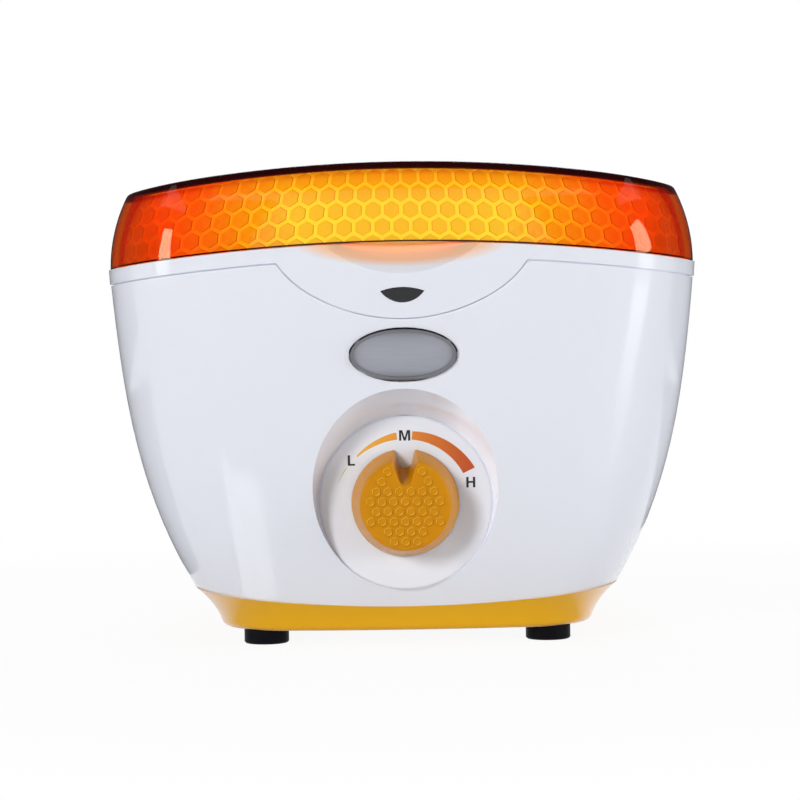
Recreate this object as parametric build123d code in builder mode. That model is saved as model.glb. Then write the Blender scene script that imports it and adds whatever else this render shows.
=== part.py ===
from build123d import *
from math import atan, cos, degrees, radians, sin, sqrt
import os

os.makedirs("parts", exist_ok=True)

# Wax warmer, in millimetres. +Z is up, the front looks along -Y, and the origin is the middle of the
# footprint on the table.

# The well that takes the wax can, which the housing is built round
well_radius = 45.5
side_room, front_room = 39.8, 36.5

# Outside form: a rounded square in plan that tapers down to the base
rim_half_width = well_radius + side_room
rim_half_depth = well_radius + front_room
shoulder_z = 105.0
side_lean, side_tuck = 10.0, 23.0
front_lean, front_tuck = 8.5, 18.5
front_bulge, side_bulge = 0.082, 0.03
corner_share = 0.40
wall = 2.5

# Seams, all arcs seen from the front
rim_z = 115.3
rim_arc_radius = 560.0
ring_height = 4.1
groove = 0.45
groove_depth = 1.2
base_seam_z = 11.5
base_seam_radius = -430.0

# Lid
lid_gap = 0.25
lid_wall = 2.2
lid_plate = 2.0
lid_top_z = 138.2
lid_top_radius = 420.0
lid_side_radius = 48.0
lid_edge_round = 2.0

# Top ring
ring_proud = 0.3
tongue_gap = 0.2
tongue_wall = 2.0
tongue_drop = 4.0
deck_z = 109.0
deck_thickness = 2.2
deck_overlap = 1.0
lip_height = 2.4
lip_gap = 0.5
bib_bottom_z = 94.2
bib_radius = 50.0
bib_side_radius = 28.0
bib_turn = 32.0
bib_side_turn = 27.0
bib_gap = 0.28
scoop_half_width = 31.0
scoop_drop = 8.0
scoop_slope = 60.0

# Base pan and feet
base_z = 4.1
base_wall = 2.2
base_edge_round = 2.4
foot_radius = 6.5
foot_inset_x, foot_inset_y = 13.8, 11.6
foot_stem_radius = 2.5
foot_barb_radius = 3.4
foot_barb_height = 1.4
foot_barb_taper = 15.0
foot_chamfer = 0.4
base_inset_x, base_inset_y = 30.5, 24.2
base_slope, base_flare = 0.215, 0.037
base_tongue_height = 4.0
base_tongue_wall = 1.6
vent_count, vent_pitch, vent_width, vent_length = 7, 6.0, 2.4, 34.0
screw_step_x, screw_step_y = -13.5, 1.8
boss_radius = 4.0
boss_rib = 2.0
boss_top_z = 30.0
base_screw_radius = 1.5
base_screw_head_radius = 2.9
base_screw_length = 14.0
countersink_angle = 45.0

# Heat dial
dial_z = 41.6
dial_radius = 24.8
dial_setback = 16.3
dial_thickness = 2.4
dial_edge_round = 0.8
dial_gap = 0.12
recess_top_z = 74.5
recess_growth = 2.3
knob_radius = 15.35
knob_face_radius = 12.7
knob_height = 11.0
knob_edge_round = 1.1
knob_gap = 0.6
knob_cavity_radius = 7.4
knob_cavity_depth = 4.6
knob_crown = 2.4
socket_gap = 0.02
notch_low, notch_slope, notch_round = 4.0, 0.256, 1.95
notch_face_low, notch_face_slope, notch_face_round = 1.9, 0.35, 1.75
notch_reach = 23.0
notch_edge_round = 0.4
shaft_radius = 3.0
shaft_gap = 0.05
shaft_flat = 2.0
shaft_flat_length = 5.5
shaft_end_gap = 0.3
bush_radius = 5.0
bush_gap = 0.1
bush_reach = 4.0
nut_flats = 12.0
nut_thickness = 2.2
thermostat_radius = 12.0
thermostat_depth = 11.5
thermostat_round = 1.0
clip_thickness = 0.5
clip_width = 3.2

# Well, heater and shield
well_wall = 1.0
well_floor_z = 47.0
well_corner = 5.0
flange_reach = 13.5
gasket_thickness = 0.8
gasket_step = 3.0
gasket_width = 4.0
deck_hole_step = 2.5
well_screw_step = 9.5
well_screw_radius = 1.5
well_screw_head_radius = 2.8
well_screw_head = 1.8
well_screw_edge = 0.6
well_screw_length = 9.0
well_boss_radius = 3.6
band_low_z, band_high_z = 62.0, 94.0
band_thickness = 3.2
band_gap = 9.0
ear_reach = 7.0
ear_height = 14.0
ear_thickness = 2.2
clamp_screw_radius = 1.5
clamp_nut_thickness = 2.4
clamp_screw_tail = 1.0
fuse_radius = 2.0
fuse_length = 11.0
fuse_clip_width = 6.0
fuse_clip_wall = 1.2
shield_room = 13.5
shield_sheet = 0.8
shield_low_z = 60.0
shield_rib_height = 4.0
shield_window = 34.0
shield_window_z = 90.0

# Badge, pilot light
badge_width, badge_height = 30.4, 15.2
badge_z = 84.0
badge_depth = 1.3
badge_proud = 0.7
badge_gap = 0.1
bezel_width = 1.3
plate_step = 0.5
lens_width = 12.3
lens_rise, lens_drop = 1.1, 3.2
lens_z = 101.8
lens_proud = 0.5
lens_edge = 0.25
lens_flange = 1.2
lens_boss_wall = 1.6
lens_boss_setback = 8.0
lamp_radius = 2.9
lamp_length = 11.0
lamp_end_round = 1.5
lamp_gap = 0.3
holder_wall = 1.2
holder_length = 7.0

# Mains inlet and inside wiring
inlet_z = 27.0
inlet_radius = 3.5
grommet_radius = 5.5
grommet_flange_radius = 7.6
grommet_flange = 2.0
grommet_edge = 0.5
inlet_depth, inlet_seat = 7.0, 0.8
block_width, block_depth, block_height = 27.0, 14.0, 13.0
block_setback = 52.0
block_ways = 3
block_screw_radius = 2.2
block_screw_depth = 4.3
wire_radius = 0.9
bend = 4.0
terminal_width, terminal_height, terminal_reach = 4.0, 3.0, 6.0
terminal_x, terminal_drop = 6.0, 5.0
terminal_stub = 7.0
way_z = 12.0
way_stub = 9.0
lead_spread = 1.5
live_waypoint = (0.0, -24.0, 30.0)
neutral_waypoint = (6.0, 20.0)
neutral_step = 14.5
neutral_rise_z = 34.0
heater_waypoint = (30.0, -20.0)
lead_low_z = 70.0
lead_waypoint_x = 16.0
lead_waypoint_z = 57.0
lead_drop = (-42.0, 38.0)

reach = 100.0
through = 25.0

# Heights of the plan sections, as shares of the body's and the lid's height
loft_margin = 3.7
body_shares = (0.02, 0.085, 0.17, 0.285, 0.44, 0.62, 0.79, 0.89, 1.0)
lid_shares = (0.0, 0.22, 0.44, 0.66, 0.83, 1.0)
base_level_step, base_level_count = 4.5, 5


def taper(z, lean, tuck):
    """How far the tapered wall has drawn in at height z."""
    share = max(0.0, shoulder_z - z) / shoulder_z
    return lean * share + tuck * share**3


def half_width(z):
    return rim_half_width - taper(z, side_lean, side_tuck)


def half_depth(z):
    return rim_half_depth - taper(z, front_lean, front_tuck)


def arc_drop(radius, x):
    """How far an arc seen from the front falls from its middle to x; a negative radius rises."""
    drop = abs(radius) - sqrt(radius**2 - x**2)
    return drop if radius > 0 else -drop


def plan(z, half_x, half_y, inset=0.0):
    """Rounded square at height z, its four faces slightly bowed, drawn in by inset."""
    x, y = half_x - inset, half_y - inset
    bow_x, bow_y = side_bulge * half_x, front_bulge * half_y
    left, right, front, back = -x + bow_x, x - bow_x, -y + bow_y, y - bow_y
    with BuildSketch(Plane.XY.offset(z)) as sketch:
        with BuildLine():
            ThreePointArc((left, front), (0, -y), (right, front))
            ThreePointArc((right, front), (x, 0), (right, back))
            ThreePointArc((right, back), (0, y), (left, back))
            ThreePointArc((left, back), (-x, 0), (left, front))
        make_face()
        fillet(sketch.vertices(), corner_share * min(half_x, half_y) - inset)
    return sketch.sketch


def body_plans(levels, inset=0.0):
    return [plan(z, half_width(z), half_depth(z), inset) for z in levels]


def lid_plans(levels, inset=0.0):
    plans = []
    for z in levels:
        lean = lid_side_radius - sqrt(lid_side_radius**2 - (z - deck_z) ** 2)
        plans.append(plan(z, rim_half_width - lean, rim_half_depth - lean, inset))
    return plans


def under_arc(middle_z, radius, low_z):
    """The area under an arc in the XZ plane, down to low_z."""
    end_z = middle_z - arc_drop(radius, reach)
    with BuildSketch(Plane.XZ) as sketch:
        with BuildLine():
            ThreePointArc((-reach, end_z), (0, middle_z), (reach, end_z))
            Polyline((reach, end_z), (reach, low_z), (-reach, low_z), (-reach, end_z))
        make_face()
    return sketch.sketch


def bib(grow=0.0):
    """The front outline of the ring's bib, up past the rim."""
    turn, side_turn = radians(bib_turn), radians(bib_turn + bib_side_turn)
    low_x, low_z = bib_radius * sin(turn), bib_bottom_z + bib_radius * (1 - cos(turn))
    side_x = low_x + bib_side_radius * (sin(side_turn) - sin(turn))
    side_z = low_z + bib_side_radius * (cos(turn) - cos(side_turn))
    top_z = rim_z + ring_height
    top_x = side_x + (top_z - side_z) * cos(side_turn) / sin(side_turn)
    with BuildSketch(Plane.XZ) as sketch:
        with BuildLine():
            ThreePointArc((-low_x, low_z), (0, bib_bottom_z), (low_x, low_z))
            for side in (1, -1):
                start = (side * low_x, low_z)
                end = (side * side_x, side_z)
                TangentArc(start, end, tangent=(side * cos(turn), sin(turn)))
                Line(end, (side * top_x, top_z))
            Line((-top_x, top_z), (top_x, top_z))
        make_face()
        if grow:
            offset(amount=grow, kind=Kind.ARC)
    return sketch.sketch


def facing(y, z, x=0.0):
    """Plane at (x, y, z) whose normal points to the front."""
    return Plane((x, y, z), x_dir=(1, 0, 0), z_dir=(0, -1, 0))


def upright(z):
    return Plane.XY.offset(z)


def keep(piece, name):
    """Labels a finished piece and writes its STEP file."""
    piece.part.label = name
    export_step(piece.part, f"parts/{name}.step")


def front_lean_angle(z):
    """How far the front wall leans out of the vertical at height z, in degrees."""
    share = (shoulder_z - z) / shoulder_z
    return degrees(atan((front_lean + 3 * front_tuck * share**2) / shoulder_z))


seam_z = rim_z - ring_height
base_half_width, base_half_depth = rim_half_width - base_inset_x, rim_half_depth - base_inset_y
foot_x, foot_y = base_half_width - foot_inset_x, base_half_depth - foot_inset_y
screw_x, screw_y = foot_x + screw_step_x, foot_y + screw_step_y
dial_front_y = dial_setback - rim_half_depth
lens_boss_y = lens_boss_setback - rim_half_depth
block_y = rim_half_depth - block_setback
flange_radius = well_radius + flange_reach
gasket_inner_radius = well_radius + gasket_step
deck_hole_radius = well_radius + deck_hole_step
well_screw_circle = well_radius + well_screw_step
shield_radius = well_radius + shield_room
base_floor_z = base_z + base_wall
base_tongue_z = base_seam_z + base_tongue_height - arc_drop(base_seam_radius, screw_x + boss_rib)
foot_places = [(x, y) for x in (-foot_x, foot_x) for y in (-foot_y, foot_y)]
screw_places = [(x, y) for x in (-screw_x, screw_x) for y in (-screw_y, screw_y)]
rib_places = [(x, y * (rim_half_depth + screw_y) / (2 * screw_y)) for x, y in screw_places]
base_screw_tip_z = base_z + base_wall + base_screw_length
countersink_depth = base_screw_head_radius - base_screw_radius
badge_tilt = radians(front_lean_angle(badge_z))
badge_plane = Plane(
    (0, -half_depth(badge_z), badge_z), x_dir=(1, 0, 0), z_dir=(0, -cos(badge_tilt), -sin(badge_tilt))
)
inlet_tilt = radians(front_lean_angle(inlet_z))
inlet_plane = Plane(
    (0, half_depth(inlet_z), inlet_z), x_dir=(-1, 0, 0), z_dir=(0, cos(inlet_tilt), -sin(inlet_tilt))
)
body_levels = [share * (rim_z + loft_margin) for share in body_shares]
lid_low_z = deck_z - loft_margin
lid_levels = [lid_low_z + share * (lid_top_z + loft_margin - lid_low_z) for share in lid_shares]
floor_y = dial_front_y + dial_thickness
recess_mouth_radius = dial_radius + dial_gap + recess_growth
recess_mouth_z = recess_top_z - recess_mouth_radius
mouth_y = -half_depth(recess_top_z)


def recess_circle(y, grow=0.0):
    """Section of the leaning dial recess at y, a circle that rises and widens to the front."""
    share = (dial_front_y - y) / (dial_front_y - mouth_y)
    centre_z = dial_z + share * (recess_mouth_z - dial_z)
    with BuildSketch(facing(y, centre_z)) as sketch:
        Circle(dial_radius + dial_gap + share * recess_growth + grow)
    return sketch.sketch


# Housing: the white moulded shell
with BuildPart() as body:
    loft(body_plans(body_levels))

with BuildPart() as cavity:
    loft(body_plans(body_levels, wall))

with BuildPart() as groove_band:
    with BuildSketch(Plane.XZ):
        add(under_arc(seam_z + ring_height, rim_arc_radius, base_z))
        add(under_arc(seam_z - groove, rim_arc_radius, 0), mode=Mode.SUBTRACT)
    extrude(amount=reach, both=True)
    loft(body_plans(body_levels, groove_depth), mode=Mode.SUBTRACT)

with BuildPart() as dial_cup:
    loft([recess_circle(dial_front_y, wall), recess_circle(-reach, wall)])
    with BuildSketch(facing(floor_y + wall, dial_z)):
        Circle(dial_radius + dial_gap + wall)
    extrude(amount=dial_thickness + wall)
    add(cavity.part, mode=Mode.INTERSECT)

with BuildPart() as bosses:
    with BuildSketch(upright(base_floor_z)):
        with Locations(*screw_places):
            Circle(boss_radius)
    extrude(amount=boss_top_z - base_floor_z)
    with BuildSketch(upright(base_tongue_z)):
        with Locations(*rib_places):
            Rectangle(boss_rib, rim_half_depth - screw_y)
    extrude(amount=boss_top_z - base_tongue_z)
    add(cavity.part, mode=Mode.INTERSECT)

with BuildPart() as housing:
    add(body.part)
    with BuildSketch(Plane.XZ):
        add(under_arc(seam_z, rim_arc_radius, base_z))
        add(under_arc(base_seam_z, base_seam_radius, 0), mode=Mode.SUBTRACT)
    extrude(amount=reach, both=True, mode=Mode.INTERSECT)
    add(cavity.part, mode=Mode.SUBTRACT)
    with BuildSketch(Plane.XZ):
        add(bib(bib_gap))
    extrude(amount=reach, mode=Mode.SUBTRACT)
    add(groove_band.part, mode=Mode.SUBTRACT)
    add(dial_cup.part)
    add(bosses.part)
    loft([recess_circle(dial_front_y), recess_circle(-reach)], mode=Mode.SUBTRACT)
    with BuildSketch(facing(floor_y, dial_z)):
        Circle(dial_radius + dial_gap)
    extrude(amount=dial_thickness, mode=Mode.SUBTRACT)
    with BuildSketch(facing(0, dial_z)):
        Circle(bush_radius + bush_gap)
    extrude(amount=reach, mode=Mode.SUBTRACT)
    with BuildSketch(badge_plane.offset(-badge_depth)):
        Ellipse(badge_width / 2 + badge_gap, badge_height / 2 + badge_gap)
    extrude(amount=reach, mode=Mode.SUBTRACT)
    with BuildSketch(inlet_plane):
        Circle(grommet_radius)
    extrude(amount=through, both=True, mode=Mode.SUBTRACT)
    with BuildSketch(inlet_plane.offset(-inlet_seat)):
        Circle(grommet_flange_radius + tongue_gap)
    extrude(amount=through, mode=Mode.SUBTRACT)
    with BuildSketch(upright(0)):
        with Locations(*screw_places):
            Circle(base_screw_radius)
    extrude(amount=base_screw_tip_z, mode=Mode.SUBTRACT)
keep(housing, "housing")


# Top ring: the white moulded ring, with its bib, deck, locating lip and finger scoop
tongue_inset = wall + tongue_gap
inner_inset = tongue_inset + tongue_wall
lip_inset = lid_wall + lip_gap
lens_centre_z = lens_z + (lens_rise - lens_drop) / 2
rim_y = -rim_half_depth
scoop_low_z = rim_z - scoop_drop
scoop_radius = (scoop_half_width**2 + scoop_drop**2) / (2 * scoop_drop)
scoop_tilt = radians(scoop_slope)
scoop_plane = Plane(
    (0, rim_y, scoop_low_z), x_dir=(1, 0, 0), z_dir=(0, -cos(scoop_tilt), -sin(scoop_tilt))
)
well_screw_places = PolarLocations(well_screw_circle, 4, start_angle=45)


def lens_outline(grow=0.0):
    """The pilot light's smile-shaped outline in the XZ plane."""
    half = lens_width / 2
    with BuildSketch(Plane.XZ) as sketch:
        with BuildLine():
            ThreePointArc((-half, lens_z), (0, lens_z + lens_rise), (half, lens_z))
            ThreePointArc((half, lens_z), (0, lens_z - lens_drop), (-half, lens_z))
        make_face()
        if grow:
            offset(amount=grow, kind=Kind.ARC)
    return sketch.sketch


def flat_at(y):
    """The XZ plane moved to y."""
    return Plane.XZ.offset(-y)


with BuildPart() as ring_inside:
    loft(body_plans(body_levels, inner_inset))

with BuildPart() as ring_tongue:
    loft(body_plans(body_levels, tongue_inset))
    with BuildSketch(Plane.XZ):
        add(under_arc(rim_z, rim_arc_radius, base_z))
        add(under_arc(seam_z - tongue_drop, rim_arc_radius, 0), mode=Mode.SUBTRACT)
    extrude(amount=reach, both=True, mode=Mode.INTERSECT)

with BuildPart() as bib_backing:
    loft(body_plans(body_levels, tongue_inset))
    with BuildSketch(Plane.XZ):
        add(bib(tongue_wall))
        add(under_arc(rim_z, rim_arc_radius, 0), mode=Mode.INTERSECT)
    extrude(amount=reach, mode=Mode.INTERSECT)

with BuildPart() as bib_panel:
    loft(body_plans(body_levels, -ring_proud))
    with BuildSketch(Plane.XZ):
        add(bib())
        add(under_arc(rim_z, rim_arc_radius, 0), mode=Mode.INTERSECT)
    extrude(amount=reach, mode=Mode.INTERSECT)

with BuildPart() as lip:
    loft(lid_plans(lid_levels, lip_inset))
    loft(lid_plans(lid_levels, lip_inset + tongue_wall), mode=Mode.SUBTRACT)
    with BuildSketch(Plane.XZ):
        add(under_arc(rim_z + lip_height, rim_arc_radius, 0))
        Rectangle(2 * reach, 2 * (deck_z - deck_thickness), mode=Mode.SUBTRACT)
    extrude(amount=reach, both=True, mode=Mode.INTERSECT)

with BuildPart() as top_ring:
    loft(body_plans(body_levels, -ring_proud))
    with BuildSketch(Plane.XZ):
        add(under_arc(rim_z, rim_arc_radius, base_z))
        add(under_arc(seam_z, rim_arc_radius, 0), mode=Mode.SUBTRACT)
    extrude(amount=reach, both=True, mode=Mode.INTERSECT)
    add(ring_tongue.part)
    add(bib_backing.part)
    add(bib_panel.part)
    add(ring_inside.part, mode=Mode.SUBTRACT)
    with BuildSketch(upright(deck_z - deck_thickness)):
        add(plan(0, half_width(deck_z), half_depth(deck_z), inner_inset - deck_overlap))
    extrude(amount=deck_thickness)
    add(lip.part)
    with BuildSketch(flat_at(lens_boss_y)):
        add(lens_outline(lens_boss_wall))
    extrude(amount=half_depth(lens_z) - wall / 2 + lens_boss_y)
    with BuildSketch(upright(deck_z - deck_thickness)):
        Circle(shield_radius + shield_sheet + tongue_wall)
        Circle(shield_radius + shield_sheet, mode=Mode.SUBTRACT)
        with Locations((0, -shield_radius)):
            Rectangle(shield_window, shield_radius, mode=Mode.SUBTRACT)
    extrude(amount=-shield_rib_height)
    with BuildSketch(upright(deck_z)):
        with well_screw_places:
            Circle(well_boss_radius)
    extrude(amount=-well_screw_length)
    with BuildSketch(upright(deck_z)):
        Circle(deck_hole_radius)
        with well_screw_places:
            Circle(well_screw_radius)
    extrude(amount=reach, both=True, mode=Mode.SUBTRACT)
    with BuildSketch(flat_at(0)):
        add(lens_outline())
    extrude(amount=reach, mode=Mode.SUBTRACT)
    with BuildSketch(scoop_plane):
        with Locations((0, scoop_radius)):
            Circle(scoop_radius)
    extrude(amount=through, both=True, mode=Mode.SUBTRACT)
keep(top_ring, "top_ring")

# Lid: the amber cover, an arched plate over a bowed skirt
with BuildPart() as lid_hollow:
    loft(lid_plans(lid_levels, lid_wall))
    with BuildSketch(Plane.XZ):
        add(under_arc(lid_top_z - lid_plate, lid_top_radius - lid_plate, 0))
    extrude(amount=reach, both=True, mode=Mode.INTERSECT)

with BuildPart() as lid:
    loft(lid_plans(lid_levels))
    with BuildSketch(Plane.XZ):
        add(under_arc(lid_top_z, lid_top_radius, base_z))
        add(under_arc(rim_z + lid_gap, rim_arc_radius, 0), mode=Mode.SUBTRACT)
    extrude(amount=reach, both=True, mode=Mode.INTERSECT)
    top_edges = lid.faces().sort_by(Axis.Z)[-1].edges()
    fillet(top_edges, lid_edge_round)
    add(lid_hollow.part, mode=Mode.SUBTRACT)
keep(lid, "lid")

# Base: the yellow pan with its flared skirt, tongue, foot holes and vents
base_levels = [base_z + step * base_level_step for step in range(base_level_count)]


def base_plans(levels, inset=0.0):
    plans = []
    for z in levels:
        rise = z - base_z
        flare = base_slope * rise + base_flare * rise**2
        plans.append(plan(z, base_half_width + flare, base_half_depth + flare, inset))
    return plans


with BuildPart() as base_hollow:
    loft(base_plans(base_levels, base_wall))
    with BuildSketch(Plane.XZ):
        with Locations((0, base_floor_z + reach / 2)):
            Rectangle(2 * reach, reach)
    extrude(amount=reach, both=True, mode=Mode.INTERSECT)

with BuildPart() as base_tongue:
    loft(body_plans(body_levels, tongue_inset))
    loft(body_plans(body_levels, tongue_inset + base_tongue_wall), mode=Mode.SUBTRACT)
    with BuildSketch(Plane.XZ):
        add(under_arc(base_seam_z + base_tongue_height, base_seam_radius, 0))
        with Locations((0, base_floor_z / 2)):
            Rectangle(2 * reach, base_floor_z, mode=Mode.SUBTRACT)
    extrude(amount=reach, both=True, mode=Mode.INTERSECT)
    with BuildSketch(upright(base_floor_z)):
        with Locations(*foot_places):
            Circle(foot_barb_radius + tongue_gap)
    extrude(amount=foot_barb_height + tongue_gap, mode=Mode.SUBTRACT)

with BuildPart() as base:
    loft(base_plans(base_levels))
    with BuildSketch(Plane.XZ):
        add(under_arc(base_seam_z, base_seam_radius, 0))
    extrude(amount=reach, both=True, mode=Mode.INTERSECT)
    fillet(base.faces().sort_by(Axis.Z)[0].edges(), base_edge_round)
    add(base_hollow.part, mode=Mode.SUBTRACT)
    add(base_tongue.part)
    with BuildSketch(upright(base_z)):
        with Locations(*foot_places):
            Circle(foot_stem_radius)
        with Locations(*screw_places):
            Circle(base_screw_radius)
        with GridLocations(vent_pitch, 1, vent_count, 1):
            SlotOverall(vent_length, vent_width, rotation=90)
    extrude(amount=base_wall, mode=Mode.SUBTRACT)
    with BuildSketch(upright(base_z)):
        with Locations(*screw_places):
            Circle(base_screw_head_radius)
    extrude(amount=countersink_depth, taper=countersink_angle, mode=Mode.SUBTRACT)
keep(base, "base")

# Feet: rubber pads with a stem and barb pushed through the floor
for x, y in foot_places:
    with BuildPart() as foot:
        with BuildSketch(upright(0)):
            with Locations((x, y)):
                Circle(foot_radius)
        extrude(amount=base_z)
        chamfer(foot.edges().group_by(Axis.Z)[0], foot_chamfer)
        with BuildSketch(upright(base_z)):
            with Locations((x, y)):
                Circle(foot_stem_radius)
        extrude(amount=base_wall + foot_barb_height)
        with BuildSketch(upright(base_floor_z)):
            with Locations((x, y)):
                Circle(foot_barb_radius)
        extrude(amount=foot_barb_height, taper=foot_barb_taper)
    keep(foot, f"foot_{'front' if y < 0 else 'rear'}_{'left' if x < 0 else 'right'}")

# Base screws: countersunk heads in the floor, shanks up into the housing's bosses
with BuildPart() as base_screws:
    with BuildSketch(upright(base_z)):
        with Locations(*screw_places):
            Circle(base_screw_radius)
    extrude(amount=base_wall + base_screw_length)
    with BuildSketch(upright(base_z)):
        with Locations(*screw_places):
            Circle(base_screw_head_radius)
    extrude(amount=countersink_depth, taper=countersink_angle)
keep(base_screws, "base_screws")

# Heat dial plate
with BuildPart() as dial_plate:
    with BuildSketch(facing(floor_y, dial_z)):
        Circle(dial_radius)
        Circle(bush_radius + bush_gap, mode=Mode.SUBTRACT)
    extrude(amount=dial_thickness)
    fillet(dial_plate.edges().group_by(Axis.Y)[0].sort_by(Edge.length)[-1], dial_edge_round)
keep(dial_plate, "dial_plate")

# Knob: a tapered cap with a pointer notch through its rim and a socket for the D-shaft
knob_back_y = dial_front_y - knob_gap
knob_face_y = knob_back_y - knob_height
shaft_tip_y = knob_face_y + knob_crown
socket_radius = shaft_radius + socket_gap
clip_z = -shaft_flat - clip_thickness


def notch(low, slope, tip_round, y):
    """The pointer notch's section at y: a wedge up from low, with a round tip, past the rim."""
    top_half = slope * (notch_reach - low)
    with BuildSketch(facing(y, dial_z)) as sketch:
        with BuildLine():
            Polyline((-top_half, notch_reach), (0, low), (top_half, notch_reach), close=True)
        make_face()
        fillet(sketch.vertices().sort_by(Axis.Y)[0], tip_round)
    return sketch.sketch


with BuildPart() as knob:
    with BuildSketch(facing(knob_back_y, dial_z)):
        Circle(knob_radius)
    with BuildSketch(facing(knob_face_y, dial_z)):
        Circle(knob_face_radius)
    loft()
    fillet(knob.faces().sort_by(Axis.Y)[0].edges(), knob_edge_round)
    with BuildSketch(facing(knob_back_y, dial_z)):
        Circle(knob_cavity_radius)
    extrude(amount=knob_cavity_depth, mode=Mode.SUBTRACT)
    back_notch = notch(notch_low, notch_slope, notch_round, knob_back_y)
    face_notch = notch(notch_face_low, notch_face_slope, notch_face_round, knob_face_y)
    loft([back_notch, face_notch], mode=Mode.SUBTRACT)
    notch_edges = knob.faces().sort_by(Axis.Y)[0].edges().sort_by(Edge.length)[:-1]
    fillet(notch_edges, notch_edge_round)
    with BuildSketch(facing(knob_back_y, dial_z)):
        Circle(socket_radius)
        with Locations((0, clip_z - socket_gap - shaft_radius)):
            Rectangle(4 * shaft_radius, 2 * shaft_radius, mode=Mode.SUBTRACT)
    extrude(amount=knob_back_y - shaft_tip_y + socket_gap, mode=Mode.SUBTRACT)
keep(knob, "knob")

# Thermostat: body with its threaded bush and two blade terminals
thermostat_front_y = floor_y + wall
thermostat_back_y = thermostat_front_y + thermostat_depth
bush_tip_y = dial_front_y - bush_reach
terminal_z = dial_z - terminal_drop
with BuildPart() as thermostat_body:
    with BuildSketch(facing(thermostat_back_y, dial_z)):
        Circle(thermostat_radius)
    extrude(amount=thermostat_depth)
    fillet(thermostat_body.edges().filter_by(GeomType.CIRCLE), thermostat_round)
    with BuildSketch(facing(thermostat_front_y, dial_z)):
        Circle(bush_radius)
    extrude(amount=thermostat_front_y - bush_tip_y)
    with BuildSketch(facing(thermostat_back_y + terminal_reach, terminal_z)):
        with Locations((-terminal_x, 0), (terminal_x, 0)):
            Rectangle(terminal_width, terminal_height)
    extrude(amount=terminal_reach)
    with BuildSketch(facing(thermostat_front_y, dial_z)):
        Circle(shaft_radius + shaft_gap)
    extrude(amount=reach, mode=Mode.SUBTRACT)
keep(thermostat_body, "thermostat_body")

with BuildPart() as thermostat_nut:
    with BuildSketch(facing(dial_front_y, dial_z)):
        RegularPolygon(nut_flats / 2, 6, major_radius=False)
        Circle(bush_radius, mode=Mode.SUBTRACT)
    extrude(amount=nut_thickness)
keep(thermostat_nut, "thermostat_nut")

with BuildPart() as thermostat_shaft:
    with BuildSketch(facing(thermostat_front_y - shaft_end_gap, dial_z)):
        Circle(shaft_radius)
    extrude(amount=thermostat_front_y - shaft_end_gap - shaft_tip_y)
    with BuildSketch(facing(shaft_tip_y, dial_z)):
        with Locations((0, -shaft_flat - shaft_radius)):
            Rectangle(4 * shaft_radius, 2 * shaft_radius)
    extrude(amount=-shaft_flat_length, mode=Mode.SUBTRACT)
keep(thermostat_shaft, "thermostat_shaft")

with BuildPart() as knob_clip:
    with BuildSketch(facing(shaft_tip_y + shaft_flat_length, dial_z)):
        with Locations((0, -shaft_flat - clip_thickness / 2)):
            Rectangle(clip_width, clip_thickness)
    extrude(amount=shaft_flat_length)
keep(knob_clip, "knob_clip")

# Heating well: deep-drawn cup with a flange that hangs on the deck
flange_z = deck_z + gasket_thickness
with BuildPart() as heating_well:
    with BuildSketch(Plane.XZ) as profile:
        with BuildLine():
            Polyline(
                (0, well_floor_z - well_wall),
                (well_radius + well_wall, well_floor_z - well_wall),
                (well_radius + well_wall, flange_z),
                (flange_radius, flange_z),
                (flange_radius, flange_z + well_wall),
                (well_radius, flange_z + well_wall),
                (well_radius, well_floor_z),
                (0, well_floor_z),
                close=True,
            )
        make_face()
        walls = profile.vertices().filter_by_position(Axis.X, well_radius, well_radius + well_wall)
        outer_low, inner_low = walls.sort_by(Axis.Y)[:2]
        fillet(inner_low, well_corner)
        fillet(outer_low, well_corner + well_wall)
    revolve(axis=Axis.Z)
    with BuildSketch(upright(flange_z)):
        with well_screw_places:
            Circle(well_screw_radius)
    extrude(amount=well_wall, mode=Mode.SUBTRACT)
keep(heating_well, "heating_well")

with BuildPart() as well_gasket:
    with BuildSketch(upright(deck_z)):
        Circle(gasket_inner_radius + gasket_width)
        Circle(gasket_inner_radius, mode=Mode.SUBTRACT)
    extrude(amount=gasket_thickness)
keep(well_gasket, "well_gasket")

with BuildPart() as well_screws:
    with BuildSketch(upright(flange_z + well_wall)):
        with well_screw_places:
            Circle(well_screw_head_radius)
    extrude(amount=well_screw_head)
    chamfer(well_screws.edges().group_by(Axis.Z)[-1], well_screw_edge)
    with BuildSketch(upright(flange_z + well_wall)):
        with well_screw_places:
            Circle(well_screw_radius)
    extrude(amount=-well_screw_length)
keep(well_screws, "well_screws")

# Band heater: a split ring round the cup with two clamp ears at the rear
band_inner = well_radius + well_wall
band_outer = band_inner + band_thickness
ear_x = (band_gap + ear_thickness) / 2
ear_y = band_outer - ear_thickness / 2
ear_z = (band_low_z + band_high_z) / 2
clamp_y = band_outer + ear_reach / 2
with BuildPart() as heater_band:
    with BuildSketch(upright(band_low_z)):
        Circle(band_outer)
        Circle(band_inner, mode=Mode.SUBTRACT)
        with Locations((0, band_outer)):
            Rectangle(band_gap, 4 * band_thickness, mode=Mode.SUBTRACT)
    extrude(amount=band_high_z - band_low_z)
    with BuildSketch(upright(ear_z - ear_height / 2)):
        with Locations((-ear_x, ear_y), (ear_x, ear_y)):
            Rectangle(ear_thickness, ear_reach + ear_thickness, align=(Align.CENTER, Align.MIN))
    extrude(amount=ear_height)
    with BuildSketch(Plane.YZ):
        with Locations((clamp_y, ear_z)):
            Circle(clamp_screw_radius)
    extrude(amount=reach, both=True, mode=Mode.SUBTRACT)
keep(heater_band, "heater_band")

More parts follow.
